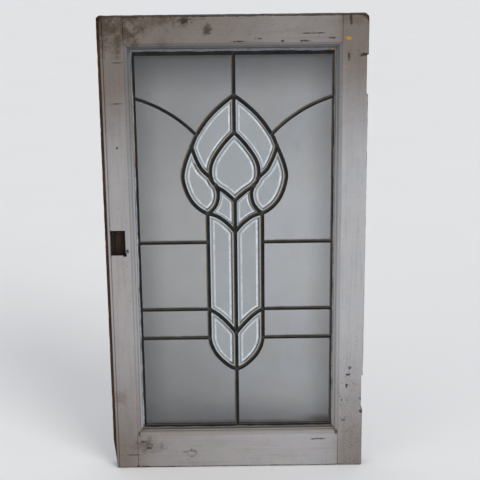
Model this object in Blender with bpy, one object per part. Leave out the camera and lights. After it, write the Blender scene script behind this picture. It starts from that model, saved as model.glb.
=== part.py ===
"""Side-hung casement sash with a leaded panel of clear and bevelled glass.

Sizes are in millimetres. The pane's own measures are x from the panel's centre line, z up from
the sash's lower edge and depth back from the moulded front face.
"""

import math

import bmesh
import bpy
from mathutils import Vector
from mathutils.geometry import interpolate_bezier

MM = 0.001

# The wooden sash.
SASH_WIDTH = 508.0
SASH_HEIGHT = 914.4
SASH_THICK = 35.0
LOCK_STILE_FACE = 50.8
HINGE_STILE_FACE = 48.8
TOP_RAIL_FACE = 50.0
BOTTOM_RAIL_FACE = 69.7
JOINT_GAP = 0.3

# The moulding run on the front of the inner edges, and the rebate behind it.
FILLET_DROP = 1.2
OVOLO_WIDTH = 7.5
OVOLO_DEPTH = 8.0
STEP_DROP = 1.2
STICKING_WIDTH = 11.0
REBATE_INSET = 1.5
SHOULDER_DEPTH = 12.0

# The meeting edge of the lock stile: a beaded front corner and a lip behind it.
LIP_WIDTH = 7.2
LIP_DEPTH = 17.0
BEAD_WIDTH = 4.6
QUIRK_WIDTH = 0.9
LIP_WEAR_WIDTH = 6.0
LIP_WEAR_HEIGHT = 55.0

# Through tenons of the rails.
TENON_THICK = 11.0
TENON_FRONT = 12.0
TOP_TENON_HEIGHT = 30.0
BOTTOM_TENON_HEIGHT = 46.0
TENON_HAUNCH = 12.0

# The housing of the lost latch.
LATCH_WIDTH = 29.4
LATCH_HEIGHT = 50.0
LATCH_LOW = 455.0
LATCH_DEPTH = 13.0
LATCH_NOTCH = 5.0
LATCH_HOLE_RADIUS = 2.0
LATCH_HOLE_DEPTH = 9.0
LATCH_HOLE_INSET = 5.2
LATCH_HOLE_SPACING = 12.5

# The worn outer top corners.
TOP_CORNER_ROUND = 6.0
CORNER_PARTS = 4

# The housings of the two lost hinges.
GAIN_HEIGHT = 76.0
GAIN_DEPTH = 3.0
GAIN_REACH = 30.0
UPPER_GAIN_LOW = 764.0
LOWER_GAIN_LOW = 121.0

# The leaded panel.
PANEL_FRONT = 14.0
CAME_HEIGHT = 7.0
FLANGE_THICK = 1.2
HEART_THICK = 1.4
THIN_CAME = 5.6
BROAD_CAME = 7.4
BORDER_CAME = 16.0
SIDE_SIGHT = 18.2
TOP_SIGHT = 24.0
BOTTOM_SIGHT = 19.5

# The putty that beds the panel.
PUTTY_GAP = 0.3
SIDE_PUTTY = 14.0
TOP_PUTTY = 16.5
BOTTOM_PUTTY = 14.5
FILLET_REACH = 14.0
FILLET_BACK = 33.5

# The glass.
GLASS_GAP = 0.4
SHEET_THICK = 3.0
BEVEL_WIDTH = 11.0
PETAL_BEVEL_WIDTH = 9.0
HEEL_BEVEL_WIDTH = 8.0
BEVEL_SLOPE = 0.25
CURVE_PARTS = 3
CURVE_SLACK = 0.02

# The ornament: its column's half width, and its height and place as shares of the sight height.
COLUMN_HALF = 53.0
ORNAMENT_SHARE = 0.74
ORNAMENT_RISE = 0.158

FACE_HALF = (SASH_WIDTH - LOCK_STILE_FACE - HINGE_STILE_FACE) / 2
CENTRE_X = -(HINGE_STILE_FACE + FACE_HALF)
OPENING_LOW = BOTTOM_RAIL_FACE
OPENING_HIGH = SASH_HEIGHT - TOP_RAIL_FACE
BORDER_HALF = FACE_HALF - SIDE_SIGHT + BORDER_CAME / 2
BORDER_LOW = OPENING_LOW + BOTTOM_SIGHT - BORDER_CAME / 2
BORDER_HIGH = OPENING_HIGH - TOP_SIGHT + BORDER_CAME / 2
SIGHT_LOW = OPENING_LOW + BOTTOM_SIGHT
SIGHT_HEIGHT = OPENING_HIGH - TOP_SIGHT - SIGHT_LOW
ORNAMENT_HEIGHT = SIGHT_HEIGHT * ORNAMENT_SHARE
ORNAMENT_LOW = SIGHT_LOW + SIGHT_HEIGHT * ORNAMENT_RISE
FLANGE_BACK = PANEL_FRONT + FLANGE_THICK
BACK_FLANGE_FRONT = PANEL_FRONT + CAME_HEIGHT - FLANGE_THICK
PANEL_BACK = PANEL_FRONT + CAME_HEIGHT
SHEET_FRONT = PANEL_FRONT + (CAME_HEIGHT - SHEET_THICK) / 2
BEVEL_BACK = BACK_FLANGE_FRONT - GLASS_GAP
BEVEL_EDGE_FRONT = BEVEL_BACK - SHEET_THICK

WOOD = (0.40, 0.38, 0.37)
PUTTY = (0.46, 0.47, 0.50)
LEAD = (0.05, 0.05, 0.055)
SHEET_GLASS = (0.62, 0.66, 0.67)
PLATE_GLASS = (0.70, 0.75, 0.78)


def clear_scene():
    for item in list(bpy.data.objects):
        bpy.data.objects.remove(item, do_unlink=True)


def at(x, depth, z):
    """A place in the part's frame: hinge edge at X 0, middle of the height and thickness at 0."""
    return Vector((x + CENTRE_X, depth - SASH_THICK / 2, z - SASH_HEIGHT / 2)) * MM


def finish_mesh(bm, name):
    bmesh.ops.recalc_face_normals(bm, faces=bm.faces)
    mesh = bpy.data.meshes.new(name)
    bm.to_mesh(mesh)
    bm.free()
    item = bpy.data.objects.new(name, mesh)
    bpy.context.scene.collection.objects.link(item)
    return item


def prism(name, outline, start, end, place):
    """An outline of pairs, carried from start to end. place turns (u, v, along) into a point."""
    bm = bmesh.new()
    face = bm.faces.new([bm.verts.new(place(u, v, start)) for u, v in outline])
    shift = place(outline[0][0], outline[0][1], end) - place(outline[0][0], outline[0][1], start)
    pulled = bmesh.ops.extrude_face_region(bm, geom=[face])
    moved = [part for part in pulled["geom"] if isinstance(part, bmesh.types.BMVert)]
    bmesh.ops.translate(bm, verts=moved, vec=shift)
    return finish_mesh(bm, name)


def block(name, x, depth, z):
    """A box between two values each of x, depth and z."""
    outline = [(x[0], depth[0]), (x[1], depth[0]), (x[1], depth[1]), (x[0], depth[1])]
    return prism(name, outline, z[0], z[1], lambda u, v, along: at(u, v, along))


def combine(target, tool, operation):
    modifier = target.modifiers.new(operation.lower(), "BOOLEAN")
    modifier.operation = operation
    modifier.solver = "EXACT"
    modifier.object = tool
    tool.hide_render = True
    tool.display_type = "WIRE"


def cut(target, *tools):
    for tool in tools:
        combine(target, tool, "DIFFERENCE")


def dress(item, colour, roughness, metallic=0.0, transmission=0.0):
    material = bpy.data.materials.new(item.name)
    material.use_nodes = True
    shader = material.node_tree.nodes["Principled BSDF"]
    shader.inputs["Base Color"].default_value = (*colour, 1.0)
    shader.inputs["Roughness"].default_value = roughness
    shader.inputs["Metallic"].default_value = metallic
    shader.inputs["Transmission Weight"].default_value = transmission
    item.data.materials.append(material)


def quarter(centre, width, height, start, parts):
    """Points of a quarter ellipse that turns anticlockwise from the start angle."""
    points = []
    for step in range(parts + 1):
        angle = start + math.pi / 2 * step / parts
        points.append((centre[0] + width * math.cos(angle), centre[1] + height * math.sin(angle)))
    return points


def inner_section():
    """The moulded inner edge from the front face to the back, as (inward, depth) pairs."""
    ovolo = quarter((0.0, FILLET_DROP + OVOLO_DEPTH), OVOLO_WIDTH, -OVOLO_DEPTH, 0.0, 6)
    return [
        (0.0, 0.0),
        *reversed(ovolo),
        (OVOLO_WIDTH, FILLET_DROP + OVOLO_DEPTH + STEP_DROP),
        (STICKING_WIDTH, FILLET_DROP + OVOLO_DEPTH + STEP_DROP),
        (STICKING_WIDTH, SHOULDER_DEPTH),
        (REBATE_INSET, SHOULDER_DEPTH),
        (REBATE_INSET, SASH_THICK),
    ]


def plain_edge(width):
    return [(-width, SASH_THICK), (-width, 0.0)]


def beaded_edge():
    """The lock stile's outer edge, with the lip behind and the bead and quirk in front."""
    bead_edge = LIP_WIDTH - LOCK_STILE_FACE
    radius = BEAD_WIDTH / 2
    first = quarter((bead_edge + radius, radius), -radius, -radius, 0.0, 4)
    second = quarter((bead_edge + radius, radius), radius, -radius, 0.0, 4)
    return [
        (-LOCK_STILE_FACE, SASH_THICK),
        (-LOCK_STILE_FACE, LIP_DEPTH),
        (bead_edge, LIP_DEPTH),
        *first,
        *list(reversed(second))[1:],
        (bead_edge + BEAD_WIDTH + QUIRK_WIDTH, radius),
        (bead_edge + BEAD_WIDTH + QUIRK_WIDTH, 0.0),
    ]


def mitre(name, side, corner_z, direction):
    """Takes the moulding off a stile past the line where the rail's moulding meets it."""
    reach = STICKING_WIDTH * 2
    past = corner_z + direction * SASH_WIDTH
    outline = [(0.0, corner_z), (reach, corner_z - direction * reach), (reach, past), (0.0, past)]
    return prism(
        name,
        outline,
        -SASH_THICK,
        SASH_THICK * 2,
        lambda inward, z, depth: at(side * (FACE_HALF - inward), depth, z),
    )


def make_stile(name, side, outer_edge):
    section = outer_edge + inner_section()
    stile = prism(
        name,
        section,
        0.0,
        SASH_HEIGHT,
        lambda inward, depth, z: at(side * (FACE_HALF - inward), depth, z),
    )
    cut(
        stile,
        mitre(name + "_top_mitre", side, OPENING_HIGH, 1),
        mitre(name + "_bottom_mitre", side, OPENING_LOW, -1),
    )
    for place, low, height in tenon_places():
        mortise = block(
            name + place + "_mortise",
            (side * (FACE_HALF - STICKING_WIDTH), side * SASH_WIDTH),
            (TENON_FRONT - JOINT_GAP, TENON_FRONT + TENON_THICK + JOINT_GAP),
            (low - JOINT_GAP, low + height + JOINT_GAP),
        )
        cut(stile, mortise)
    dress(stile, WOOD, 0.6)
    return stile


def tenon_places():
    return (
        ("_bottom", TENON_HAUNCH, BOTTOM_TENON_HEIGHT),
        ("_top", SASH_HEIGHT - TENON_HAUNCH - TOP_TENON_HEIGHT, TOP_TENON_HEIGHT),
    )


def make_rail(name, corner_z, direction, width, tenon_low, tenon_height):
    """A rail between the stiles, with one tenon that runs through both and ends flush."""
    section = plain_edge(width) + inner_section()
    end = FACE_HALF - JOINT_GAP
    rail = prism(
        name,
        section,
        -end,
        end,
        lambda inward, depth, x: at(x, depth, corner_z - direction * inward),
    )
    reach = STICKING_WIDTH * 2
    for side, label in ((-1, "_left"), (1, "_right")):
        outline = [(end, 0.0), (end - reach, reach), (end + reach, reach), (end + reach, 0.0)]
        corner = prism(
            name + label + "_mitre",
            outline,
            -SASH_THICK,
            SASH_THICK * 2,
            lambda x, inward, depth: at(side * x, depth, corner_z - direction * inward),
        )
        cut(rail, corner)
    back = TENON_FRONT + TENON_THICK
    lip_end = -FACE_HALF - LOCK_STILE_FACE
    outline = [
        (lip_end + LIP_WIDTH, TENON_FRONT),
        (lip_end + LIP_WIDTH, LIP_DEPTH),
        (lip_end, LIP_DEPTH),
        (lip_end, back),
        (FACE_HALF + HINGE_STILE_FACE, back),
        (FACE_HALF + HINGE_STILE_FACE, TENON_FRONT),
    ]
    tenon = prism(
        name + "_tenon", outline, tenon_low, tenon_low + tenon_height, lambda u, v, z: at(u, v, z)
    )
    combine(rail, tenon, "UNION")
    dress(rail, WOOD, 0.6)
    return rail


def cut_latch_housing(stile):
    """The housing starts behind the bead. It is overcut at one corner and has two screw holes."""
    outer = -FACE_HALF - LOCK_STILE_FACE + LIP_WIDTH + BEAD_WIDTH
    inner = outer + LATCH_WIDTH
    housing = block(
        "latch_housing",
        (outer, inner),
        (-SASH_THICK, LATCH_DEPTH),
        (LATCH_LOW, LATCH_LOW + LATCH_HEIGHT),
    )
    notch = block(
        "latch_notch",
        (inner - LATCH_NOTCH, inner + LATCH_NOTCH * 0.4),
        (-SASH_THICK, LATCH_DEPTH * 0.6),
        (LATCH_LOW - LATCH_NOTCH * 0.5, LATCH_LOW + LATCH_NOTCH),
    )
    cut(stile, housing, notch)
    for number in (0, 1):
        centre_x = outer + LATCH_HOLE_INSET + LATCH_HOLE_SPACING * number
        bm = bmesh.new()
        bmesh.ops.create_cone(
            bm,
            cap_ends=True,
            segments=12,
            radius1=LATCH_HOLE_RADIUS * MM,
            radius2=LATCH_HOLE_RADIUS * MM,
            depth=LATCH_HOLE_DEPTH * 2 * MM,
        )
        hole = finish_mesh(bm, "latch_hole_" + str(number + 1))
        hole.rotation_euler = (math.pi / 2, 0.0, 0.0)
        hole.location = at(centre_x, LATCH_DEPTH, LATCH_LOW + LATCH_HEIGHT * 0.84)
        cut(stile, hole)


def wear_lip(stile, rail):
    """The lip's lower end is worn away to a slant, and with it the end of the rail's tenon."""
    edge = -FACE_HALF - LOCK_STILE_FACE
    outline = [
        (edge, LIP_WEAR_HEIGHT),
        (edge + LIP_WEAR_WIDTH, 0.0),
        (edge + LIP_WEAR_WIDTH, -LIP_WEAR_HEIGHT),
        (edge - LIP_WEAR_WIDTH, -LIP_WEAR_HEIGHT),
        (edge - LIP_WEAR_WIDTH, LIP_WEAR_HEIGHT),
    ]
    wedge = prism(
        "lip_wear", outline, LIP_DEPTH - LIP_WEAR_WIDTH, SASH_THICK * 2, lambda x, z, depth: at(x, depth, z)
    )
    cut(stile, wedge)
    cut(rail, wedge)


def round_top_corner(stile, side, edge):
    """The stile's outer top corner is worn round. edge is its outer edge, from the centre line."""
    centre = (side * (edge - TOP_CORNER_ROUND), SASH_HEIGHT - TOP_CORNER_ROUND)
    outline = quarter(centre, side * TOP_CORNER_ROUND, TOP_CORNER_ROUND, 0.0, CORNER_PARTS)
    past = SASH_HEIGHT + TOP_CORNER_ROUND
    outline += [(centre[0], past), (side * (edge + TOP_CORNER_ROUND), past)]
    outline.append((side * (edge + TOP_CORNER_ROUND), centre[1]))
    corner = prism(
        stile.name + "_corner", outline, -SASH_THICK, SASH_THICK * 2, lambda x, z, depth: at(x, depth, z)
    )
    cut(stile, corner)


def cut_hinge_gains(stile):
    edge = FACE_HALF + HINGE_STILE_FACE
    for label, low in (("lower", LOWER_GAIN_LOW), ("upper", UPPER_GAIN_LOW)):
        gain = block(
            label + "_gain",
            (edge - GAIN_DEPTH, edge + GAIN_REACH),
            (-SASH_THICK, GAIN_REACH),
            (low, low + GAIN_HEIGHT),
        )
        cut(stile, gain)


def curve_through(*nodes):
    """A smooth curve through the nodes, its end tangents those of a circular arc."""
    points = [Vector(node) for node in nodes]
    if len(points) == 2:
        return points
    inner = [(points[i + 1] - points[i - 1]).normalized() for i in range(1, len(points) - 1)]
    first = (points[1] - points[0]).normalized()
    last = (points[-1] - points[-2]).normalized()
    tangents = [-inner[0].reflect(first), *inner, -inner[-1].reflect(last)]
    line = [points[0]]
    for i in range(len(points) - 1):
        reach = (points[i + 1] - points[i]).length / 3
        near = points[i] + tangents[i] * reach
        far = points[i + 1] - tangents[i + 1] * reach
        span = interpolate_bezier(points[i], near, far, points[i + 1], CURVE_PARTS + 1)
        line.extend(Vector(point[:2]) for point in span[1:])
    return line


def node(across, up):
    """A node of the ornament from shares of its height, right of its centre and up from its foot."""
    return across * ORNAMENT_HEIGHT, ORNAMENT_LOW + up * ORNAMENT_HEIGHT


def column_node(across, up):
    """The same, with the place across as a share of the column's half width."""
    return across * COLUMN_HALF, ORNAMENT_LOW + up * ORNAMENT_HEIGHT


def came_lines():
    """Each came's centre line right of the panel's own, with the came's width."""
    flame_tip = node(0.0, 1.0)
    split = node(0.1466, 0.8237)
    joint = node(0.1295, 0.8633)
    waist = column_node(1.0, 0.5845)
    touch_top = node(0.0818, 0.7104)
    touch_low = node(0.0656, 0.6844)
    drop_tip = node(0.0, 0.8723)
    drop_foot = node(0.0, 0.6295)
    arch_foot = node(0.0, 0.5171)
    leaf_tip = node(0.0, 0.1403)
    foot_tip = node(0.0, 0.0)
    flame = curve_through(
        flame_tip, node(0.0782, 0.9335), joint, split, node(0.1709, 0.7626), node(0.179, 0.7086),
        node(0.1502, 0.6295), waist,
    )
    drop = curve_through(
        drop_tip, node(0.0522, 0.8129), node(0.08, 0.7608), touch_top, touch_low,
        node(0.0342, 0.6619), drop_foot,
    )
    petal = curve_through(
        split, node(0.1169, 0.7482), touch_top, touch_low, node(0.0576, 0.6529),
        node(0.0665, 0.6151), waist,
    )
    joint_point, split_point, touch_point = CURVE_PARTS * 2, CURVE_PARTS * 3, CURVE_PARTS * 3
    column = [column_node(1.0, 0.4793), column_node(1.0, 0.2302), column_node(1.0, 0.1214)]
    side_end = (BORDER_HALF, node(0.0, 0.9964)[1])
    side_bend = (joint[0] + (BORDER_HALF - joint[0]) * 0.46, node(0.0, 0.9451)[1])
    broad = {
        "centre_top": [(0.0, BORDER_HIGH), flame_tip],
        "flame_top": flame[: joint_point + 1],
        "flame_joint": flame[joint_point : split_point + 1],
        "flame_side": flame[split_point:],
        "stem_top": [flame_tip, drop_tip],
        "drop_top": drop[: touch_point + 1],
        "drop_touch": drop[touch_point : touch_point + CURVE_PARTS + 1],
        "drop_low": drop[touch_point + CURVE_PARTS :],
        "petal_top": petal[: CURVE_PARTS * 2 + 1],
        "petal_low": petal[CURVE_PARTS * 3 :],
        "stem_waist": [drop_foot, arch_foot],
        "arch": curve_through(waist, column_node(0.528, 0.5674), arch_foot),
        "column_top": [waist, column[0]],
        "column_long": [column[0], column[1]],
        "column_foot": [column[1], column[2]],
        "stem_column": [arch_foot, leaf_tip],
        "leaf": curve_through(column[1], column_node(0.557, 0.2005), leaf_tip),
        "stem_leaf": [leaf_tip, foot_tip],
        "foot": curve_through(
            column[2], column_node(0.811, 0.0665), column_node(0.377, 0.0198), foot_tip
        ),
        "centre_low": [foot_tip, (0.0, BORDER_LOW)],
    }
    thin = {
        "side": curve_through(joint, side_bend, side_end),
        "row_1": [column[0], (BORDER_HALF, column[0][1])],
        "row_2": [column[1], (BORDER_HALF, column[1][1])],
        "row_3": [column[2], (BORDER_HALF, column[2][1])],
    }
    heights = [BORDER_HIGH, side_end[1], *(row[1] for row in column), BORDER_LOW]
    border = {
        "border_top": [(0.0, BORDER_HIGH), (BORDER_HALF, BORDER_HIGH)],
        "border_low": [(BORDER_HALF, BORDER_LOW), (0.0, BORDER_LOW)],
    }
    for number in range(5):
        ends = [(BORDER_HALF, heights[number]), (BORDER_HALF, heights[number + 1])]
        border["border_" + str(number + 1)] = ends
    lines = {}
    for group, width in ((broad, BROAD_CAME), (thin, THIN_CAME), (border, BORDER_CAME)):
        for name, points in group.items():
            lines[name] = ([Vector(point) for point in points], width)
    return lines


# Each glass piece right of the centre line: the cames round it, clockwise. A minus runs one back.
PLAIN_PIECES = {
    "top_pane": ("border_top", "border_1", "-side", "-flame_top", "-centre_top"),
    "side_pane": ("border_2", "-row_1", "-column_top", "-flame_side", "-flame_joint", "side"),
    "upper_row_pane": ("border_3", "-row_2", "-column_long", "row_1"),
    "lower_row_pane": ("border_4", "-row_3", "-column_foot", "row_2"),
    "bottom_pane": ("border_5", "border_low", "-centre_low", "-foot", "row_3"),
}
BEVELLED_PIECES = {
    "upper_petal": ("flame_top", "flame_joint", "petal_top", "-drop_top", "-stem_top"),
    "lower_petal": ("flame_side", "-petal_low", "-drop_touch", "-petal_top"),
    "heel": ("petal_low", "arch", "-stem_waist", "-drop_low"),
    "column": ("column_top", "column_long", "leaf", "-stem_column", "-arch"),
    "leaf": ("column_foot", "foot", "-stem_leaf", "-leaf"),
}


def loop_of(names, lines):
    """The closed centre line round a piece, and the came width along each of its edges."""
    points = []
    widths = []
    for name in names:
        line, width = lines[name.lstrip("-")]
        if name.startswith("-"):
            line = list(reversed(line))
        points.extend(line[:-1])
        widths.extend([width] * (len(line) - 1))
    return points, widths


def mirrored(points, widths):
    """The same loop left of the centre line, still clockwise."""
    flipped = [Vector((-point.x, point.y)) for point in reversed(points)]
    return flipped, [*list(reversed(widths))[1:], widths[-1]]


def crossing(first, second):
    spread = first[1].cross(second[1])
    if abs(spread) < 1e-5:
        return second[0].copy()
    return first[0] + first[1] * ((second[0] - first[0]).cross(second[1]) / spread)


def to_segment(point, start, end):
    along = end - start
    share = max(0.0, min(1.0, (point - start).dot(along) / along.length_squared))
    return (point - start - along * share).length


def inset(points, distances):
    """The loop moved inward, each edge by its own distance, and each old corner's new one."""
    count = len(points)
    sides = []
    for i in range(count):
        along = (points[(i + 1) % count] - points[i]).normalized()
        inward = Vector((along.y, -along.x))
        sides.append((points[i] + inward * distances[i], along))
    corners = {}
    for i in range(count):
        corner = crossing(sides[i - 1], sides[i])
        past = (
            (points[i - 1] - corner).dot(sides[i - 1][1]),
            (corner - points[(i + 1) % count]).dot(sides[i][1]),
        )
        gaps = [
            to_segment(corner, points[k], points[(k + 1) % count]) - distances[k] for k in range(count)
        ]
        if max(past) < CURVE_SLACK and min(gaps) > -CURVE_SLACK:
            corners[i] = corner
    kept = sorted(corners)
    moved = []
    new_corner = {}
    for number, i in enumerate(kept):
        new_corner[i] = len(moved)
        moved.append(corners[i])
        following = kept[(number + 1) % len(kept)]
        steps = (following - i) % count
        if steps > 1:
            for k in range(1, steps):
                new_corner[(i + k) % count] = len(moved)
            moved.append(crossing(sides[i], sides[following - 1]))
    return moved, [new_corner[i] for i in range(count)]


def stack(name, levels):
    """A closed body of loops one behind the other. Each level is ((points, corners), depth)."""
    bm = bmesh.new()
    rows = []
    for (points, corners), depth in levels:
        rows.append(([bm.verts.new(at(point.x, depth, point.y)) for point in points], corners))
    bm.faces.new(rows[0][0])
    bm.faces.new(rows[-1][0])
    for (near, near_corners), (far, far_corners) in zip(rows, rows[1:]):
        for i in range(len(near_corners)):
            ring = [
                near[near_corners[i - 1]],
                near[near_corners[i]],
                far[far_corners[i]],
                far[far_corners[i - 1]],
            ]
            ring = list(dict.fromkeys(ring))
            if len(ring) > 2:
                bm.faces.new(ring)
    return finish_mesh(bm, name)


def cell_levels(points, widths):
    """A glass piece's space: the sight size at each flange, and the glazing size between them."""
    sight = inset(points, [width / 2 for width in widths])
    deep = inset(points, [HEART_THICK / 2] * len(widths))
    return [
        (sight, PANEL_FRONT - CAME_HEIGHT),
        (sight, FLANGE_BACK),
        (deep, FLANGE_BACK),
        (deep, BACK_FLANGE_FRONT),
        (sight, BACK_FLANGE_FRONT),
        (sight, PANEL_BACK + CAME_HEIGHT),
    ]


def plain_glass(name, points, widths):
    edge = inset(points, [HEART_THICK / 2 + GLASS_GAP] * len(widths))
    pane = stack(name, [(edge, SHEET_FRONT), (edge, SHEET_FRONT + SHEET_THICK)])
    dress(pane, SHEET_GLASS, 0.05, transmission=0.9)


def bevelled_glass(name, points, widths, bevel_width):
    """Plate with a flat back; its front slopes up from a thin edge to the flat middle."""
    margin = HEART_THICK / 2 + GLASS_GAP
    edge = inset(points, [margin] * len(widths))
    middle = inset(points, [margin + bevel_width] * len(widths))
    front = BEVEL_EDGE_FRONT - bevel_width * BEVEL_SLOPE
    pane = stack(name, [(middle, front), (edge, BEVEL_EDGE_FRONT), (edge, BEVEL_BACK)])
    dress(pane, PLATE_GLASS, 0.03, transmission=0.95)


def rectangle(half, low, high):
    points = [(-half, low), (-half, high), (half, high), (half, low)]
    return [Vector(point) for point in points], [0, 1, 2, 3]


def make_panel():
    lines = came_lines()
    bevels = {"upper_petal": PETAL_BEVEL_WIDTH, "heel": HEEL_BEVEL_WIDTH}
    tools = []
    for names, bevelled in ((PLAIN_PIECES, False), (BEVELLED_PIECES, True)):
        for name, around in names.items():
            right = loop_of(around, lines)
            for label, loop in (("_right", right), ("_left", mirrored(*right))):
                tools.append(stack(name + label + "_cell", cell_levels(*loop)))
                if bevelled:
                    bevelled_glass(name + label, *loop, bevels.get(name, BEVEL_WIDTH))
                else:
                    plain_glass(name + label, *loop)
    half, widths = loop_of(("drop_top", "drop_touch", "drop_low"), lines)
    other_half = [Vector((-point.x, point.y)) for point in reversed(half[1:])]
    foot = lines["drop_low"][0][-1]
    drop = half + [foot] + other_half
    drop_widths = widths * 2
    tools.append(stack("teardrop_cell", cell_levels(drop, drop_widths)))
    bevelled_glass("teardrop", drop, drop_widths, BEVEL_WIDTH)
    outer = rectangle(
        BORDER_HALF + BORDER_CAME / 2, BORDER_LOW - BORDER_CAME / 2, BORDER_HIGH + BORDER_CAME / 2
    )
    cames = stack("lead_cames", [(outer, PANEL_FRONT), (outer, PANEL_BACK)])
    cut(cames, *tools)
    dress(cames, LEAD, 0.45, metallic=0.6)


def make_putty():
    """One ring: a thin bed in front of the panel, a packing round it and a fillet behind it."""
    edge = REBATE_INSET + PUTTY_GAP
    body = rectangle(FACE_HALF - edge, OPENING_LOW + edge, OPENING_HIGH - edge)
    front = rectangle(FACE_HALF - SIDE_PUTTY, OPENING_LOW + BOTTOM_PUTTY, OPENING_HIGH - TOP_PUTTY)
    outside = BORDER_CAME / 2 + PUTTY_GAP
    pocket = rectangle(BORDER_HALF + outside, BORDER_LOW - outside, BORDER_HIGH + outside)
    near = rectangle(
        FACE_HALF - FILLET_REACH, OPENING_LOW + FILLET_REACH, OPENING_HIGH - TOP_PUTTY
    )
    back_edge = edge + PUTTY_GAP * 4
    far = rectangle(FACE_HALF - back_edge, OPENING_LOW + back_edge, OPENING_HIGH - back_edge)
    bed_front = SHOULDER_DEPTH + PUTTY_GAP
    pocket_front = PANEL_FRONT - PUTTY_GAP
    pocket_back = PANEL_BACK + PUTTY_GAP
    ring = stack("glazing_putty", [(body, bed_front), (body, FILLET_BACK)])
    hollow = stack(
        "putty_hollow",
        [
            (front, 0.0),
            (front, pocket_front),
            (pocket, pocket_front),
            (pocket, pocket_back),
            (near, pocket_back),
            (far, FILLET_BACK),
            (far, SASH_THICK),
        ],
    )
    cut(ring, hollow)
    dress(ring, PUTTY, 0.8)


def make_sash():
    lock_stile = make_stile("lock_stile", -1, beaded_edge())
    cut_latch_housing(lock_stile)
    round_top_corner(lock_stile, -1, FACE_HALF + LOCK_STILE_FACE)
    hinge_stile = make_stile("hinge_stile", 1, plain_edge(HINGE_STILE_FACE))
    cut_hinge_gains(hinge_stile)
    round_top_corner(hinge_stile, 1, FACE_HALF + HINGE_STILE_FACE)
    bottom, top = tenon_places()
    bottom_rail = make_rail(
        "bottom_rail", OPENING_LOW, -1, BOTTOM_RAIL_FACE, bottom[1], bottom[2]
    )
    wear_lip(lock_stile, bottom_rail)
    make_rail("top_rail", OPENING_HIGH, 1, TOP_RAIL_FACE, top[1], top[2])


clear_scene()
make_sash()
make_putty()
make_panel()
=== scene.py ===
"""The casement sash with its leaded panel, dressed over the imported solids.

Sizes are in millimetres: x from the hinge edge (negative towards the lock stile), depth back from
the moulded face and z up from the sash's lower edge.
"""

import math

import bmesh
import bpy
from mathutils import Matrix, Vector, noise
from mathutils.geometry import interpolate_bezier


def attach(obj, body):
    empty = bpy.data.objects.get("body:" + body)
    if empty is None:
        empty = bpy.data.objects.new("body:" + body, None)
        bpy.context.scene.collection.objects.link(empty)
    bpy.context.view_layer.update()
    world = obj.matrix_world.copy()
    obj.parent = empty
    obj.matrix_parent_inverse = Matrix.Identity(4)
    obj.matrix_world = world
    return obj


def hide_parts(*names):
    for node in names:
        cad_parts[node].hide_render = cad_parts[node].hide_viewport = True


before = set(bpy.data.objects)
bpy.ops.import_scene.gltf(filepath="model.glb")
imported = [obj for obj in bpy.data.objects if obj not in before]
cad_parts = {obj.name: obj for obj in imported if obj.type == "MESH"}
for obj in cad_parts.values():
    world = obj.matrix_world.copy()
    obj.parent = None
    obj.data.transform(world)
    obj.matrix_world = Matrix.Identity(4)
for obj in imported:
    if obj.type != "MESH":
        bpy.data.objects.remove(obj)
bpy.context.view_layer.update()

# The wooden members: two full-height stiles and two tenoned rails, run from 35 mm stock.
# Each has an ovolo moulding on its inner front edge and a rebate behind it. The lock stile's
# outer edge is beaded in front with a bare lip behind. All are painted, knocked and dirty.

MM = 0.001
SASH_WIDTH = 508.0
SASH_HEIGHT = 914.4
SASH_THICK = 35.0
LOCK_STILE_FACE = 50.8
HINGE_STILE_FACE = 48.8
TOP_RAIL_FACE = 50.0
BOTTOM_RAIL_FACE = 69.7
FACE_HALF = (SASH_WIDTH - LOCK_STILE_FACE - HINGE_STILE_FACE) / 2
CENTRE_X = -(HINGE_STILE_FACE + FACE_HALF)
OPENING_LOW = BOTTOM_RAIL_FACE
OPENING_HIGH = SASH_HEIGHT - TOP_RAIL_FACE
JOINT_GAP = 0.3
FILLET_DROP = 1.2
OVOLO_WIDTH = 7.5
OVOLO_DEPTH = 8.0
STEP_DROP = 1.2
STICKING_WIDTH = 11.0
REBATE_INSET = 1.5
SHOULDER_DEPTH = 12.0
LIP_WIDTH = 7.2
LIP_DEPTH = 17.0
BEAD_WIDTH = 4.6
QUIRK_WIDTH = 0.9
LIP_WEAR_WIDTH = 6.0
LIP_WEAR_HEIGHT = 55.0
TENON_THICK = 11.0
TENON_FRONT = 12.0
TOP_TENON_HEIGHT = 30.0
BOTTOM_TENON_HEIGHT = 46.0
TENON_HAUNCH = 12.0
ARRIS = 0.8
STILE_END_EASE = 0.6
RAIL_END_EASE = 0.4
GRAIN_STEP = 5.0


def at(x, depth, z):
    """A place in the row frame, with x from the panel's centre line."""
    return Vector((x + CENTRE_X, depth - SASH_THICK / 2, z - SASH_HEIGHT / 2)) * MM


def eased(outline, radius):
    """The closed outline with each sharp corner worn to a small round."""
    points = [Vector(point) for point in outline]
    worn = []
    for i, corner in enumerate(points):
        back = points[i - 1] - corner
        ahead = points[(i + 1) % len(points)] - corner
        if math.pi - back.angle(ahead) < math.radians(30):
            worn.append(corner)
            continue
        reach = min(radius, back.length * 0.4, ahead.length * 0.4)
        start = corner + back.normalized() * reach
        end = corner + ahead.normalized() * reach
        worn.extend((start, corner * 0.5 + (start + end) * 0.25, end))
    return worn


def spaced(outline, longest):
    """The closed outline with its long sides divided."""
    points = []
    for i, start in enumerate(outline):
        end = outline[(i + 1) % len(outline)]
        parts = max(1, math.ceil((end - start).length / longest))
        points.extend(start.lerp(end, step / parts) for step in range(parts))
    return points


def item_of(bm, name):
    bmesh.ops.recalc_face_normals(bm, faces=bm.faces)
    mesh = bpy.data.meshes.new(name)
    bm.to_mesh(mesh)
    bm.free()
    item = bpy.data.objects.new(name, mesh)
    bpy.context.scene.collection.objects.link(item)
    return item


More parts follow.
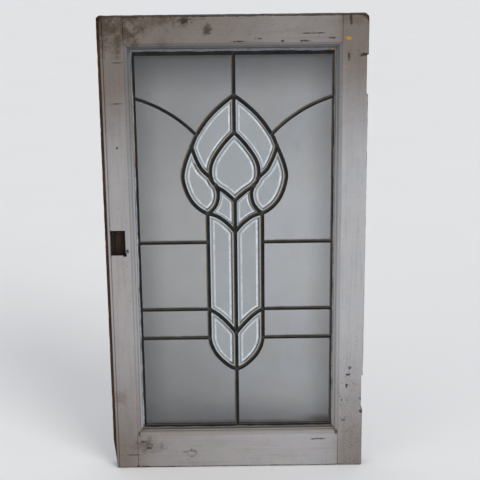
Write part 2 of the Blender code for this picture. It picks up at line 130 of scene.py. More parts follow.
def carried(name, outline, start, end, place, step=0.0, eased_ends=0.0):
    """An outline carried from start to end, in steps if asked, its two ends eased if asked."""
    bm = bmesh.new()
    start += eased_ends
    end -= eased_ends
    first = bm.faces.new([bm.verts.new(place(u, v, start)) for u, v in outline])
    pulled = bmesh.ops.extrude_face_region(bm, geom=[first])["geom"]
    moved = [part for part in pulled if isinstance(part, bmesh.types.BMVert)]
    along = place(outline[0][0], outline[0][1], end) - place(outline[0][0], outline[0][1], start)
    bmesh.ops.translate(bm, verts=moved, vec=along)
    last = [part for part in pulled if isinstance(part, bmesh.types.BMFace)][0]
    if step:
        long_edges = [
            edge for edge in bm.edges if abs((edge.verts[1].co - edge.verts[0].co).dot(along)) > 1e-9
        ]
        bmesh.ops.subdivide_edges(bm, edges=long_edges, cuts=int(along.length / MM / step))
    bmesh.ops.recalc_face_normals(bm, faces=bm.faces)
    if eased_ends:
        bmesh.ops.inset_region(
            bm, faces=[first, last], thickness=eased_ends * MM, depth=eased_ends * MM
        )
    return item_of(bm, name)


def block(name, x, depth, z):
    outline = [(x[0], depth[0]), (x[1], depth[0]), (x[1], depth[1]), (x[0], depth[1])]
    return carried(name, outline, z[0], z[1], at)


def joined(item, *steps):
    """The item after its Boolean steps, each a pair of (operation, tool)."""
    for operation, tool in steps:
        modifier = item.modifiers.new(operation, "BOOLEAN")
        modifier.operation = operation
        modifier.solver = "EXACT"
        modifier.object = tool
    graph = bpy.context.evaluated_depsgraph_get()
    mesh = bpy.data.meshes.new_from_object(item.evaluated_get(graph))
    item.modifiers.clear()
    item.data = mesh
    for _, tool in steps:
        bpy.data.objects.remove(tool, do_unlink=True)
    return item


def smoothed(item, angle=35.0):
    item.data.shade_smooth()
    item.data.set_sharp_from_angle(angle=math.radians(angle))
    return item


def weathered(item, broad=0.25, fine=0.12, edge=0.9):
    """Wears the surface inwards a little, and more along the sash's outer edges."""
    mesh = item.data
    for vertex, normal in zip(mesh.vertices, [Vector(v.vector) for v in mesh.vertex_normals]):
        place = vertex.co / MM
        amount = broad * (0.5 + 0.5 * noise.noise(place / 38))
        amount += fine * (0.5 + 0.5 * noise.noise(place / 6))
        from_end = SASH_HEIGHT / 2 - abs(place.z)
        from_side = min(-place.x, place.x + SASH_WIDTH)
        if min(from_end, from_side) < 1.5:
            amount += edge * max(0.0, noise.noise(place / 14) + 0.25 * noise.noise(place / 4))
        vertex.co -= normal * amount * MM
    return item


def quarter(centre, width, height, parts):
    """Points of a quarter ellipse, from its crossing with the first axis to the second."""
    angles = [math.pi / 2 * step / parts for step in range(parts + 1)]
    return [(centre[0] + width * math.cos(a), centre[1] + height * math.sin(a)) for a in angles]


def inner_section():
    base = FILLET_DROP + OVOLO_DEPTH
    ovolo = quarter((0.0, base), OVOLO_WIDTH, -OVOLO_DEPTH, 9)
    return [
        (0.0, 0.0),
        *reversed(ovolo),
        (OVOLO_WIDTH, base + STEP_DROP),
        (STICKING_WIDTH, base + STEP_DROP),
        (STICKING_WIDTH, SHOULDER_DEPTH),
        (REBATE_INSET, SHOULDER_DEPTH),
        (REBATE_INSET, SASH_THICK),
    ]


def plain_edge(width):
    return [(-width, SASH_THICK), (-width, 0.0)]


def beaded_edge():
    bead_edge = LIP_WIDTH - LOCK_STILE_FACE
    radius = BEAD_WIDTH / 2
    first = quarter((bead_edge + radius, radius), -radius, -radius, 6)
    second = quarter((bead_edge + radius, radius), radius, -radius, 6)
    return [
        (-LOCK_STILE_FACE, SASH_THICK),
        (-LOCK_STILE_FACE, LIP_DEPTH),
        (bead_edge, LIP_DEPTH),
        *first,
        *list(reversed(second))[1:],
        (bead_edge + BEAD_WIDTH + QUIRK_WIDTH, radius),
        (bead_edge + BEAD_WIDTH + QUIRK_WIDTH, 0.0),
    ]


def section_points(outer_edge):
    return spaced(eased(outer_edge + inner_section(), ARRIS), GRAIN_STEP)


def tenon_places():
    return (
        (TENON_HAUNCH, BOTTOM_TENON_HEIGHT),
        (SASH_HEIGHT - TENON_HAUNCH - TOP_TENON_HEIGHT, TOP_TENON_HEIGHT),
    )


def stile(name, side, outer_edge, more_steps):
    """A full-height stile. Its moulding stops on the mitre and each rail's tenon runs through it."""

    def place(inward, depth, z):
        return at(side * (FACE_HALF - inward), depth, z)

    steps = []
    for corner_z, direction in ((OPENING_HIGH, 1), (OPENING_LOW, -1)):
        reach = STICKING_WIDTH * 2
        past = corner_z + direction * SASH_WIDTH
        outline = [(0, corner_z), (reach, corner_z - direction * reach), (reach, past), (0, past)]
        tool = carried(
            "mitre", outline, -SASH_THICK, SASH_THICK * 2, lambda u, v, depth: place(u, depth, v)
        )
        steps.append(("DIFFERENCE", tool))
    for low, height in tenon_places():
        tool = block(
            "mortise",
            (side * (FACE_HALF - STICKING_WIDTH), side * SASH_WIDTH),
            (TENON_FRONT - JOINT_GAP, TENON_FRONT + TENON_THICK + JOINT_GAP),
            (low - JOINT_GAP, low + height + JOINT_GAP),
        )
        steps.append(("DIFFERENCE", tool))
    section = section_points(outer_edge)
    body = carried(name, section, 0, SASH_HEIGHT, place, GRAIN_STEP, STILE_END_EASE)
    joined(body, *steps, *more_steps)
    return smoothed(weathered(body))


def rail(name, corner_z, direction, width, tenon_low, tenon_height, *more_steps):
    """A rail between the stiles, its moulding mitred at both ends and its tenon ends flush."""
    end = FACE_HALF - JOINT_GAP
    reach = STICKING_WIDTH * 2
    steps = []
    for side in (-1, 1):
        outline = [(end, 0), (end - reach, reach), (end + reach, reach), (end + reach, 0)]
        tool = carried(
            "mitre",
            outline,
            -SASH_THICK,
            SASH_THICK * 2,
            lambda u, v, depth: at(side * u, depth, corner_z - direction * v),
        )
        steps.append(("DIFFERENCE", tool))
    back = TENON_FRONT + TENON_THICK
    lip_end = -FACE_HALF - LOCK_STILE_FACE
    hinge_end = FACE_HALF + HINGE_STILE_FACE
    outline = [
        (lip_end + LIP_WIDTH, TENON_FRONT),
        (lip_end + LIP_WIDTH, LIP_DEPTH),
        (lip_end, LIP_DEPTH),
        (lip_end, back),
        (hinge_end, back),
        (hinge_end, TENON_FRONT),
    ]
    tenon = carried("tenon", outline, tenon_low, tenon_low + tenon_height, at)
    steps.append(("UNION", tenon))
    body = carried(
        name,
        section_points(plain_edge(width)),
        -end,
        end,
        lambda inward, depth, x: at(x, depth, corner_z - direction * inward),
        GRAIN_STEP,
        RAIL_END_EASE,
    )
    joined(body, *steps, *more_steps)
    return smoothed(weathered(body))


def rounded_corner(x_sign, x_edge, z_edge, radius, depth):
    """The tool that rounds one outer corner of the sash."""
    z_sign = 1 if z_edge > SASH_HEIGHT / 2 else -1
    centre = Vector((x_edge - x_sign * radius, z_edge - z_sign * radius))
    arc = quarter(centre, x_sign * radius, z_sign * radius, 6)
    outside = [(centre.x, z_edge + z_sign * radius), (x_edge + x_sign * radius, z_edge + z_sign * radius)]
    outside.append((x_edge + x_sign * radius, centre.y))
    return carried("corner", arc + outside, depth[0], depth[1], lambda u, v, along: at(u, along, v))


LATCH_WIDTH = 29.4
LATCH_HEIGHT = 50.0
LATCH_LOW = 455.0
LATCH_DEPTH = 13.0
LATCH_NOTCH = 5.0
LATCH_HOLE_RADIUS = 2.0
LATCH_HOLE_DEPTH = 9.0
LATCH_HOLE_INSET = 5.2
LATCH_HOLE_SPACING = 12.5
LATCH_HOLE_RISE = 42.0
TOP_CORNER_ROUND = 6.0
FACE_CORNER_ROUND = 4.0
LOW_CORNER_ROUND = 2.5
GAIN_HEIGHT = 76.0
GAIN_DEPTH = 3.0
GAIN_REACH = 30.0
UPPER_GAIN_LOW = 764.0
LOWER_GAIN_LOW = 121.0


def worn_lip():
    """The tool that wears the lip's lower end to a slant."""
    edge = -FACE_HALF - LOCK_STILE_FACE
    outline = [
        (edge, LIP_WEAR_HEIGHT),
        (edge + LIP_WEAR_WIDTH, 0.0),
        (edge + LIP_WEAR_WIDTH, -LIP_WEAR_HEIGHT),
        (edge - LIP_WEAR_WIDTH, -LIP_WEAR_HEIGHT),
        (edge - LIP_WEAR_WIDTH, LIP_WEAR_HEIGHT),
    ]
    depth = (LIP_DEPTH - LIP_WEAR_WIDTH, SASH_THICK * 2)
    return carried("wear", outline, depth[0], depth[1], lambda u, v, along: at(u, along, v))


def lock_stile_steps():
    """The latch housing with its overcut corner and two screw holes, and the worn corners."""
    lip_edge = -FACE_HALF - LOCK_STILE_FACE
    bead_edge = lip_edge + LIP_WIDTH
    outer = bead_edge + BEAD_WIDTH
    inner = outer + LATCH_WIDTH
    depth = (-SASH_THICK, LATCH_DEPTH)
    tools = [
        block("housing", (outer, inner), depth, (LATCH_LOW, LATCH_LOW + LATCH_HEIGHT)),
        block(
            "notch",
            (inner - LATCH_NOTCH, inner + LATCH_NOTCH * 0.4),
            (-SASH_THICK, LATCH_DEPTH * 0.6),
            (LATCH_LOW - LATCH_NOTCH * 0.5, LATCH_LOW + LATCH_NOTCH),
        ),
        rounded_corner(-1, lip_edge, SASH_HEIGHT, TOP_CORNER_ROUND, (-SASH_THICK, SASH_THICK * 2)),
        rounded_corner(-1, bead_edge, SASH_HEIGHT, FACE_CORNER_ROUND, (-SASH_THICK, LIP_DEPTH)),
        rounded_corner(-1, bead_edge, 0.0, LOW_CORNER_ROUND, (-SASH_THICK, LIP_DEPTH)),
        worn_lip(),
    ]
    for number in (0, 1):
        centre_x = outer + LATCH_HOLE_INSET + LATCH_HOLE_SPACING * number
        centre = at(centre_x, LATCH_DEPTH, LATCH_LOW + LATCH_HOLE_RISE)
        bm = bmesh.new()
        bmesh.ops.create_cone(
            bm,
            cap_ends=True,
            segments=20,
            radius1=LATCH_HOLE_RADIUS * MM,
            radius2=LATCH_HOLE_RADIUS * MM,
            depth=LATCH_HOLE_DEPTH * 2 * MM,
            matrix=Matrix.Translation(centre) @ Matrix.Rotation(math.pi / 2, 4, "X"),
        )
        tools.append(item_of(bm, "screw_hole"))
    return [("DIFFERENCE", tool) for tool in tools]


def hinge_stile_steps():
    """The two hinge housings, cut from the front, and the worn corners."""
    edge = FACE_HALF + HINGE_STILE_FACE
    tools = [
        rounded_corner(1, edge, SASH_HEIGHT, TOP_CORNER_ROUND, (-SASH_THICK, SASH_THICK * 2)),
        rounded_corner(1, edge, 0.0, LOW_CORNER_ROUND, (-SASH_THICK, SASH_THICK * 2)),
    ]
    for low in (LOWER_GAIN_LOW, UPPER_GAIN_LOW):
        tools.append(
            block(
                "gain",
                (edge - GAIN_DEPTH, edge + SASH_THICK),
                (-SASH_THICK, GAIN_REACH),
                (low, low + GAIN_HEIGHT),
            )
        )
    return [("DIFFERENCE", tool) for tool in tools]


class Field:
    """A socket of a material's node tree. Arithmetic on it adds Math nodes."""

    def __init__(self, tree, socket=None):
        self.tree = tree
        self.socket = socket

    def node(self, kind, settings, sockets, output=0):
        node = self.tree.nodes.new(kind)
        for name, value in settings.items():
            setattr(node, name, value)
        for name, value in sockets.items():
            if isinstance(value, Field):
                self.tree.links.new(value.socket, node.inputs[name])
            else:
                node.inputs[name].default_value = value
        return Field(self.tree, node.outputs[output])

    def math(self, operation, *values):
        return self.node("ShaderNodeMath", {"operation": operation}, dict(enumerate(values)))

    def __add__(self, other):
        return self.math("ADD", self, other)

    def __radd__(self, other):
        return self.math("ADD", other, self)

    def __sub__(self, other):
        return self.math("SUBTRACT", self, other)

    def __rsub__(self, other):
        return self.math("SUBTRACT", other, self)

    def __mul__(self, other):
        return self.math("MULTIPLY", self, other)

    def __truediv__(self, other):
        return self.math("DIVIDE", self, other)

    def __pow__(self, other):
        return self.math("POWER", self, other)

    def __neg__(self):
        return self.math("MULTIPLY", self, -1.0)

    def __abs__(self):
        return self.math("ABSOLUTE", self)

    def smaller(self, other):
        return self.math("MINIMUM", self, other)

    def larger(self, other):
        return self.math("MAXIMUM", self, other)

    def rise(self, low, high):
        """0 below low, 1 above high and smooth between; low may be the larger."""
        sockets = {"Value": self, "From Min": low, "From Max": high}
        return self.node("ShaderNodeMapRange", {"interpolation_type": "SMOOTHSTEP"}, sockets)

    def between(self, low, high, soft=0.4):
        """1 from low to high, and smoothly down to 0 outside them."""
        return self.rise(low - soft, low) * self.rise(high + soft, high)

    def mix(self, first, second):
        """Blends two colours; this field is the share of the second."""
        settings = {"data_type": "RGBA"}
        return self.node("ShaderNodeMix", settings, {0: self, 6: first, 7: second}, 2)

    def cloud(self, place, scale, detail=4.0, roughness=0.6):
        """Noise from 0 to 1 over a place in metres. scale is waves per metre, or three of them."""
        waves = scale if isinstance(scale, tuple) else (scale, scale, scale)
        stretched = self.node("ShaderNodeVectorMath", {"operation": "MULTIPLY"}, {0: place, 1: waves})
        sockets = {"Vector": stretched, "Scale": 1.0, "Detail": detail, "Roughness": roughness}
        return self.node("ShaderNodeTexNoise", {}, sockets)


def colour(red, green, blue):
    return (red, green, blue, 1.0)


def finish(name, roughness, **plain):
    """A new material. Returns it, its tree's field and its shader node."""
    material = bpy.data.materials.new(name)
    material.use_nodes = True
    shader = material.node_tree.nodes["Principled BSDF"]
    shader.inputs["Roughness"].default_value = roughness
    for socket, value in plain.items():
        shader.inputs[socket.replace("_", " ")].default_value = value
    return material, Field(material.node_tree), shader


def wire(field, shader, **sockets):
    for name, value in sockets.items():
        field.tree.links.new(value.socket, shader.inputs[name.replace("_", " ")])


def bump(field, height, strength, distance):
    return field.node("ShaderNodeBump", {}, {"Height": height, "Strength": strength, "Distance": distance})


PAINT = colour(0.425, 0.416, 0.425)
PAINT_COOL = colour(0.4, 0.41, 0.44)
PAINT_DIRTIED_AND_SHADED = colour(0.165, 0.139, 0.122)
GRIME = colour(0.062, 0.044, 0.029)
SOOT = colour(0.022, 0.016, 0.012)
BARE_WOOD = colour(0.11, 0.05, 0.021)
DARK_WOOD = colour(0.03, 0.015, 0.008)
OLD_VARNISH = colour(0.42, 0.2, 0.03)
MOULDING_SHADE = colour(0.13, 0.15, 0.17)
STEP_HIGHLIGHT = colour(0.36, 0.355, 0.36)
SILL_BROWN = colour(0.2, 0.15, 0.105)
CREASE_SHADE = colour(0.06, 0.053, 0.048)
FOOT_CREASE_SHADE = colour(0.03, 0.024, 0.018)
CHIP_BROWN = colour(0.05, 0.028, 0.018)
MARK_BROWN = colour(0.05, 0.027, 0.014)
HOUSING_BLACK = colour(0.004, 0.003, 0.002)


def position(field):
    """A point's place in metres, then its x, depth and z in the sash's own millimetres."""
    place = field.node("ShaderNodeTexCoord", {}, {}, "Object")
    x, depth, z = (field.node("ShaderNodeSeparateXYZ", {}, {0: place}, axis) / MM for axis in range(3))
    return place, x, depth + SASH_THICK / 2, z + SASH_HEIGHT / 2


class Surface:
    """A member's surface: where a point lies on the sash, and the noises that its wear follows."""

    def __init__(self, field, grain):
        place, self.x, self.depth, self.z = position(field)
        self.mottle = field.cloud(place, 14, 5)
        self.patch = field.cloud(place, 45, 5, 0.7)
        self.speck = field.cloud(place, 420, 3)
        self.streak = field.cloud(place, grain, 4, 0.55)
        self.grit = field.cloud(place, 150, 5, 0.75)
        self.ragged = (self.patch - 0.5) * 18 + (self.grit - 0.5) * 8
        self.high = self.z.rise(590, 905)
        self.at_hinge = self.x.rise(-60, -40)

    def stain(self, centre_x, centre_z, reach_x, reach_z, soft=0.3):
        """An oval spot on the face with a torn edge."""
        across = (self.x - centre_x) / reach_x
        up = (self.z - centre_z) / reach_z
        torn = (self.patch - 0.5) * 4.5 if max(reach_x, reach_z) > 15 else (self.grit - 0.5) * 3.5
        far = (across * across + up * up) ** 0.5 + torn + (self.grit - 0.5) * 1.2
        return far.rise(1.0 + soft, 1.0 - soft)

    def stains(self, spots):
        """The strongest of several stains at each point. A spot is its share and its stain's values."""
        share, *values = spots[0]
        strongest = self.stain(*values) * share
        for share, *values in spots[1:]:
            strongest = strongest.larger(self.stain(*values) * share)
        return strongest


def aged_paint(on):
    """Off-white paint, cooler in clouds, and darker and browner towards the top, the foot and the lock
    side: partly dirt from handling, partly painted shade, the light being brightest at the middle of the
    hinge side.
    """
    paint = on.mottle.rise(0.3, 0.7).mix(PAINT, PAINT_COOL)
    at_side = abs(on.x + SASH_WIDTH / 2).rise(150, 235)
    low = on.z.rise(340, -30)
    # Painted shade mixed with dirt from handling: the paint is darkened towards the top, the foot and the
    # lock stile, away from the brightest light.
    dirt_and_shade = on.high * (0.74 + at_side * 0.22) + low * (0.3 + at_side * 0.32)
    dirt_and_shade = dirt_and_shade + on.x.rise(-60, -520) * 0.42 + low * on.x.rise(-150, -80) * 0.06
    dirt_and_shade = dirt_and_shade + on.at_hinge * (0.09 + on.high * 0.08 + low * 0.17)
    paint = (dirt_and_shade * (0.85 + on.mottle * 0.3)).smaller(1.0).mix(paint, PAINT_DIRTIED_AND_SHADED)
    return (on.streak.rise(0.45, 0.75) * 0.15).mix(paint, GRIME)


def moulding_paint(on, paint):
    """The paint inside the opening, with painted light and shade: painted shade greying it high up, a
    painted highlight on the step, and painted shade along its creases.
    """
    beside = on.x.rise(-462, -456) * on.x.rise(-46, -52)
    above = on.z.rise(OPENING_LOW - 1, OPENING_LOW + 3) * on.z.rise(OPENING_HIGH + 1, OPENING_HIGH - 3)
    reveal = beside * above * on.depth.rise(0.9, 2.5) * on.depth.rise(13.0, 11.5)
    # Painted shade: the reveal is greyed more and more towards the top, where the top moulding faces down,
    # away from the light.
    paint = (reveal * on.z.rise(300, 850) * 0.5).mix(paint, MOULDING_SHADE)
    across = (on.x + SASH_WIDTH - LOCK_STILE_FACE).smaller(-on.x - HINGE_STILE_FACE)
    inward = across.smaller(on.z - OPENING_LOW).smaller(OPENING_HIGH - on.z)
    upright = across.rise(14, 11) * on.z.rise(82, 86) * on.z.rise(850, 845)
    # Painted highlight: the step is paled on the sides and low down, where the light catches it, and not
    # high up, where it is in shade.
    step = reveal * inward.rise(7.5, 8.0) * upright * on.z.rise(700, 560)
    paint = (step * 0.85).mix(paint, STEP_HIGHLIGHT)
    sill = reveal * on.z.rise(82, 80)
    paint = (sill * 0.45).mix(paint, SILL_BROWN)
    broken = 0.55 + on.grit * 0.6
    # Painted shade in the creases: broken dark lines where the ovolo meets the step and along the fillet
    # by the face.
    crease_line_shade = on.depth.rise(7.9, 8.8) * on.depth.rise(10.3, 9.7)
    crease_line_shade = crease_line_shade + on.depth.rise(0.3, 0.7) * on.depth.rise(2.0, 1.5)
    paint = (reveal * crease_line_shade * broken).smaller(0.9).mix(paint, CREASE_SHADE)
    # Painted shade along the ovolo's foot on the two rails.
    foot_crease_shade = inward.rise(9.2, 10.3) * on.depth.rise(8.5, 9.5) * (1.0 - upright)
    return (foot_crease_shade * broken).smaller(1.0).mix(paint, FOOT_CREASE_SHADE)


# Dirt rubbed in at the corners, as gain and base on the grit before each stain's values.
GRITTY_DIRT = (
    (3.0, -0.45, -496, 904, 60, 38, 0.7),
    (2.2, -0.45, -420, 912, 78, 17, 0.7),
    (2.2, -0.4, -436, 50, 26, 12, 0.8),
)
SOFT_DIRT = (
    (0.85, -466, 868, 9, 22, 0.7),
    (1.0, -440, 879, 6, 5),
    (0.35, -386, 862, 8, 14, 0.8),
    (0.35, -488, 155, 12, 12, 0.8),
    (0.4, -25, 906, 24, 10, 0.9),
    (0.7, -385, 905, 8, 4),
)


def dirt_on(on):
    dirt = on.grit.rise(0.62, 0.68) * on.mottle.rise(0.5, 0.65) * 0.3
    dirt = dirt.larger(on.patch.rise(0.5, 0.7) * 0.08)
    for gain, base, *values in GRITTY_DIRT:
        dirt = dirt.larger(on.stain(*values) * (on.grit * gain + base))
    return dirt.larger(on.stains(SOFT_DIRT)).smaller(1.0)


def chips_on(on):
    """Small chips, most of them low on the hinge stile, at the foot and high up."""
    worn = (on.at_hinge * on.z.rise(400, 120)).larger(on.z.rise(70, 10) * 0.55)
    worn = worn.larger(on.high * 0.6).larger(0.25)
    return on.speck.rise(0.69 - worn * 0.09, 0.73 - worn * 0.09) * on.patch.rise(0.36, 0.5)


# The knocks, scratches and checks that can be told apart, each where it is on the face.
TOP_MARKS = (
    (1.0, -345, 905, 11, 5),
    (1.0, -34, 906, 2.5, 8),
    (1.0, -245, 867, 13, 1.6),
    (1.0, -161, 867, 3, 1.6),
    (1.0, -120, 867, 10, 1.4),
    (1.0, -108, 881, 26, 0.9),
    (0.8, -70, 872, 8, 1.6),
    (0.8, -205, 872, 6, 1.6),
)
LOCK_STILE_MARKS = (
    (1.0, -464, 464, 3, 4),
    (1.0, -476, 668, 3, 2),
    (1.0, -470, 830, 12, 0.8),
    (1.0, -470, 753, 14, 0.8),
    (1.0, -468, 28, 16, 1.0),
)
HINGE_STILE_MARKS = (
    (1.0, -37, 838, 2, 7),
    (1.0, -12, 840, 5, 4),
    (0.8, -26, 214, 4, 3),
    (1.0, -30, 199, 4, 2),
    (1.0, -33, 175, 2, 4),
    (1.0, -3, 147, 4, 3),
    (1.0, -42, 144, 2, 3),
    (1.0, -2, 118, 4, 3),
    (0.8, -38, 100, 4, 2),
)
FOOT_MARKS = (
    (1.0, -434, 43, 5, 2),
    (1.0, -446, 57, 5, 2),
    (1.0, -457, 0, 3, 4),
    (1.0, -440, 0, 4, 3),
    (1.0, -448, 0, 14, 2.5),
    (1.0, -88, 59, 12, 1.5),
    (1.0, -453, 73, 3, 4),
    (0.8, -53, 73, 2.5, 5),
)
VARNISH_SPOTS = ((1.0, -38, 871, 6, 3), (0.5, -15, 176, 5, 1.5), (0.6, -44, 818, 5, 1.2))


def marks_on(on):
    marks = on.stains(TOP_MARKS + LOCK_STILE_MARKS + HINGE_STILE_MARKS + FOOT_MARKS)
    rubbed = on.stain(-301, 889, 8, 9) * (on.grit * 1.7)
    flake = on.stain(-349, 31, 11, 7) * (1.0 - on.stain(-350, 30, 8, 4.5))
    return marks.larger(rubbed).larger(flake * 0.7).smaller(1.0)


def bare_on(on):
    """Where the paint is gone: everywhere, then the latch housing's and the corners' shares."""
    from_side = (-on.x).smaller(on.x + SASH_WIDTH)
    from_end = on.z.smaller(SASH_HEIGHT - on.z)
    lip = (on.x + SASH_WIDTH).rise(LIP_WIDTH + 0.5, LIP_WIDTH - 0.2) * on.depth.rise(15.5, 16.3)
    edge_chips = (from_side.smaller(from_end) + on.ragged * 0.16).rise(1.1, 0.2)
    corner = ((from_side + from_end) + on.ragged * 1.2).rise(17.0, 11.0) * on.z.rise(400, 500)
    corner = corner.larger((from_end + on.ragged * 0.2).rise(2.2, 1.0) * on.grit.rise(0.4, 0.5))
    by_gain = (on.z - UPPER_GAIN_LOW - GAIN_HEIGHT).larger(-on.x - 8.0) + on.ragged * 0.3
    corner = corner.larger(by_gain.rise(4.0, 1.5) * on.z.rise(836, 840) * from_side.rise(12, 9))
    lock_edge = (abs(on.x + SASH_WIDTH - LIP_WIDTH) + on.ragged * 0.1).rise(1.0, 0.3)
    lock_edge = lock_edge * on.depth.rise(0.6, 2.0)
    latch_side = LIP_WIDTH + BEAD_WIDTH - SASH_WIDTH
    housing = on.x.between(latch_side, latch_side + LATCH_WIDTH)
    housing = housing * on.z.between(LATCH_LOW - 2.6, LATCH_LOW + LATCH_HEIGHT + 0.2)
    housing = housing * on.depth.rise(0.35, 1.0) * on.depth.rise(16, 14)
    lower_gain = on.z.between(LOWER_GAIN_LOW, LOWER_GAIN_LOW + GAIN_HEIGHT)
    gains = lower_gain + on.z.between(UPPER_GAIN_LOW, UPPER_GAIN_LOW + GAIN_HEIGHT)
    gain = gains * on.x.rise(-GAIN_DEPTH - 0.6, -GAIN_DEPTH - 0.1)
    gain = gain * on.depth.rise(GAIN_REACH + 1.0, GAIN_REACH) * on.depth.rise(0.2, 0.8)
    bare = lip.larger(edge_chips).larger(corner).larger(housing).larger(gain).larger(lock_edge * 0.8)
    return bare, housing, corner


def sash_paint(name, grain):
    """Old oil paint on wood. grain is the noise scale, long waves lying along the member."""
    material, field, shader = finish(name, 0.55, Specular_IOR_Level=0.28)
    on = Surface(field, grain)
    paint = moulding_paint(on, aged_paint(on))
    dirt = dirt_on(on)
    paint = dirt.mix(paint, GRIME)
    paint = (chips_on(on) * 0.85).mix(paint, CHIP_BROWN)
    marks = marks_on(on)
    paint = (marks * 0.95).mix(paint, on.patch.rise(0.4, 0.6).mix(SOOT, MARK_BROWN))
    paint = on.stains(VARNISH_SPOTS).mix(paint, OLD_VARNISH)
    bare, housing, corner = bare_on(on)
    wood = (on.streak + (on.patch - 0.5) * 0.8).rise(0.25, 0.75).mix(DARK_WOOD, BARE_WOOD)
    wood = (housing * (1.1 - on.streak * 0.6)).larger(corner * 0.6).mix(wood, HOUSING_BLACK)
    skin = bare.mix(paint, wood)
    behind = on.depth.rise(33.5, 34.5)
    skin = (behind * on.patch.rise(0.35, 0.75) * 0.3).mix(skin, GRIME)
    height = on.streak * 0.5 + on.speck * 0.25 + on.patch * 0.5 - bare * 0.9 - marks * 0.5
    wire(
        field,
        shader,
        Base_Color=skin,
        Roughness=0.5 + bare * 0.25 + dirt * 0.15 + (on.speck - 0.5) * 0.12,
        Normal=bump(field, height, 0.5, 0.0006),
    )
    return material


def make_sash():
    upright = sash_paint("stile_paint", (160, 160, 9))
    level = sash_paint("rail_paint", (9, 160, 160))
    bottom, top = tenon_places()
    worn_tenon = ("DIFFERENCE", worn_lip())
    members = (
        ("top_rail", rail("worn_top_rail", OPENING_HIGH, 1, TOP_RAIL_FACE, *top), level),
        (
            "bottom_rail",
            rail("worn_bottom_rail", OPENING_LOW, -1, BOTTOM_RAIL_FACE, *bottom, worn_tenon),
            level,
        ),
        ("lock_stile", stile("worn_lock_stile", -1, beaded_edge(), lock_stile_steps()), upright),
        (
            "hinge_stile",
            stile("worn_hinge_stile", 1, plain_edge(HINGE_STILE_FACE), hinge_stile_steps()),
            upright,
        ),
    )
    for node_name, item, paint in members:
        item.data.materials.clear()
        item.data.materials.append(paint)
        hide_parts(node_name)
        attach(item, "root")


make_sash()

# The putty is whiting and linseed oil, knifed in soft round the panel and painted when hard.
# In front only a ragged line shows, squeezed out past the moulding. Behind, it is struck off to
# a plain fillet.

SIDE_SIGHT = 18.2
TOP_SIGHT = 24.0
BOTTOM_SIGHT = 19.5
BORDER_CAME = 16.0
PANEL_FRONT = 14.0
CAME_HEIGHT = 7.0
PANEL_BACK = PANEL_FRONT + CAME_HEIGHT
BORDER_HALF = FACE_HALF - SIDE_SIGHT + BORDER_CAME / 2
BORDER_LOW = OPENING_LOW + BOTTOM_SIGHT - BORDER_CAME / 2
BORDER_HIGH = OPENING_HIGH - TOP_SIGHT + BORDER_CAME / 2
PUTTY_GAP = 0.3
SIDE_PUTTY = 14.0
TOP_PUTTY = 16.5
BOTTOM_PUTTY = 14.5
FILLET_REACH = 14.0
FILLET_BACK = 33.5
PUTTY_STEPS = 110


def putty_loop(bm, side, low, high, depth, ragged=0.0):
    """One ring of points round the opening. side, low and high are its insets from the face."""
    half = FACE_HALF - side
    floor = OPENING_LOW + low
    ceiling = OPENING_HIGH - high
    corners = [(-half, floor), (-half, ceiling), (half, ceiling), (half, floor)]
    points = []
    for i, start in enumerate(corners):
        end = corners[(i + 1) % 4]
        for step in range(PUTTY_STEPS):
            point = Vector(start).lerp(Vector(end), step / PUTTY_STEPS)
            place = Vector((point.x, depth, point.y))
            sway = ragged * (noise.noise(place / 26) + 0.5 * noise.noise(place / 7))
            inward = Vector((-point.x / half, 0.0))
            if i in (1, 3):
                inward = Vector((0.0, float(i - 2)))
            if 0 < step:
                point += inward * sway
            points.append(bm.verts.new(at(point.x, depth + abs(sway) * 0.1, point.y)))
    return points


